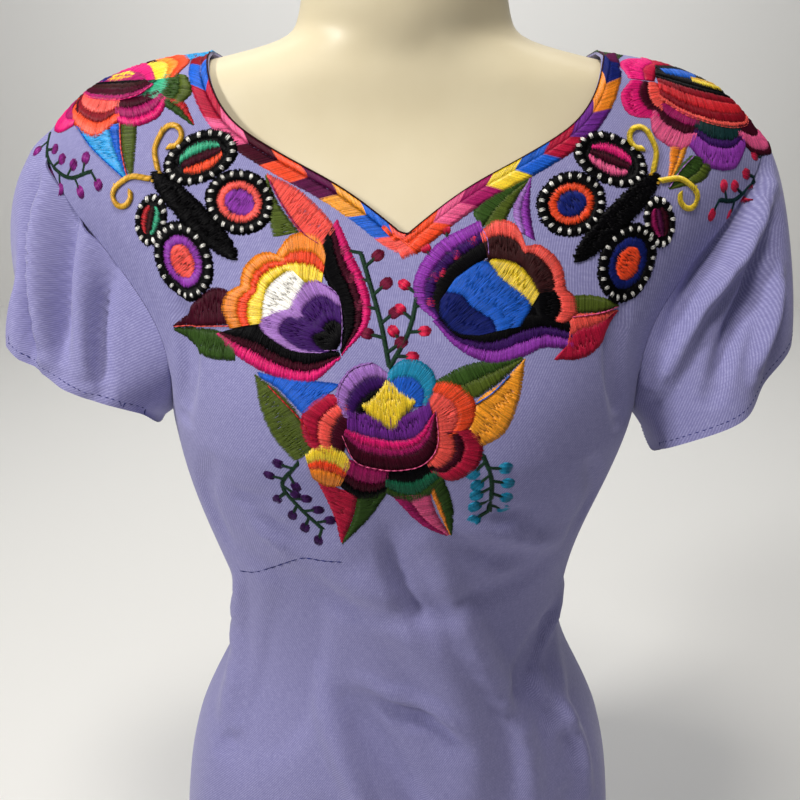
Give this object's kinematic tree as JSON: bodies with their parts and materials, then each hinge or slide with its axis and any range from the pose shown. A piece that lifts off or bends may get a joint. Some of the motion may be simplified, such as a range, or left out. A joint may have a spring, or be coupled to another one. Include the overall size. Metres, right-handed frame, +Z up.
{
  "type": "embroidered blouse on a dress form",
  "caption": "Short-sleeved fitted blouse with a notched neckline and flared hem, worn by a smooth limbless dress form that stands on its flat base",
  "frame": {"origin": "centre of the bounding box in plan, at the height of the dress form's flat base", "axes": "+Z is up along the body, the front faces -Y, and +X is to the right as seen from the front"},
  "size_m": [0.4728, 0.243, 0.722],
  "materials": {
    "cloth": "plain lavender cotton weave with a soft sheen, sewn with satin-stitch thread",
    "form": "satin cream moulded plastic"
  },
  "bodies": {
    "root": {"front": "cloth", "back": "cloth", "sleeve_left": "cloth", "sleeve_right": "cloth", "dress_form": "form"}
  },
  "joints": []
}
